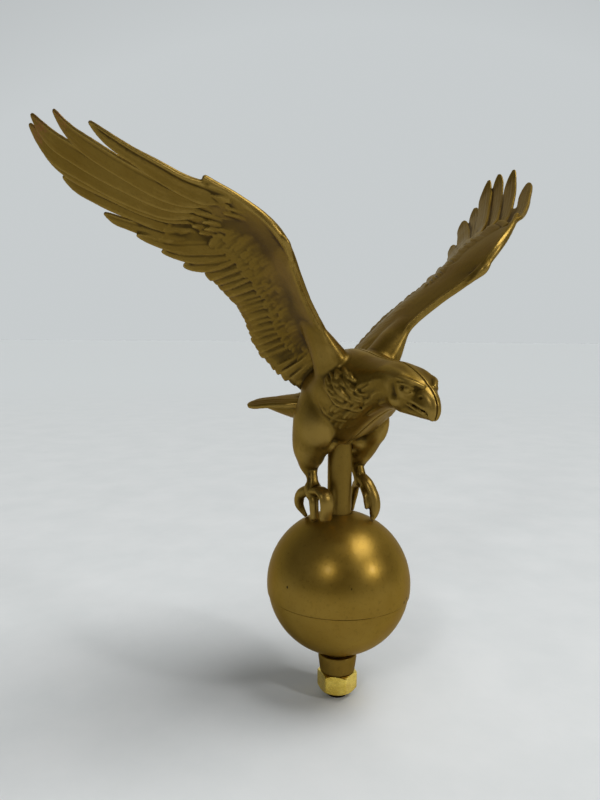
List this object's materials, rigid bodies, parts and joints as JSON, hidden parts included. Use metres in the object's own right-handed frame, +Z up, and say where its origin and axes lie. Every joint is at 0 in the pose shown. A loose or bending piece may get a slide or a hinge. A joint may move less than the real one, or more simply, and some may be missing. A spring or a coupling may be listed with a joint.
{
  "type": "flagpole finial",
  "caption": "Flagpole-top finial: a landing eagle with raised wings, cast in two halves, clamped on a rod above a two-piece ball with a collar and a nut below.",
  "frame": {"origin": "centre of the flat end face of the threaded stud, which goes into the top of the pole", "axes": "+Z up along the rod, the bird faces -Y, its right wing is at -X"},
  "size_m": [0.286, 0.1406, 0.3003],
  "materials": {
    "casting_paint": "old bronze-gold paint over cast metal, satin with glossy edges",
    "rod_paint": "old bronze-gold paint over a turned rod, satin",
    "ball_paint": "smooth bronze-gold paint over a spun ball, satin gloss with specks and chips",
    "collar_paint": "bronze-gold paint, satin",
    "nut_brass": "bright machined brass"
  },
  "bodies": {
    "root": {"eagle_right_half": "casting_paint", "eagle_left_half": "casting_paint", "spindle_rod": "rod_paint", "ball_upper_half": "ball_paint", "ball_lower_half": "ball_paint", "lower_collar": "collar_paint", "hex_nut": "nut_brass"}
  },
  "joints": []
}
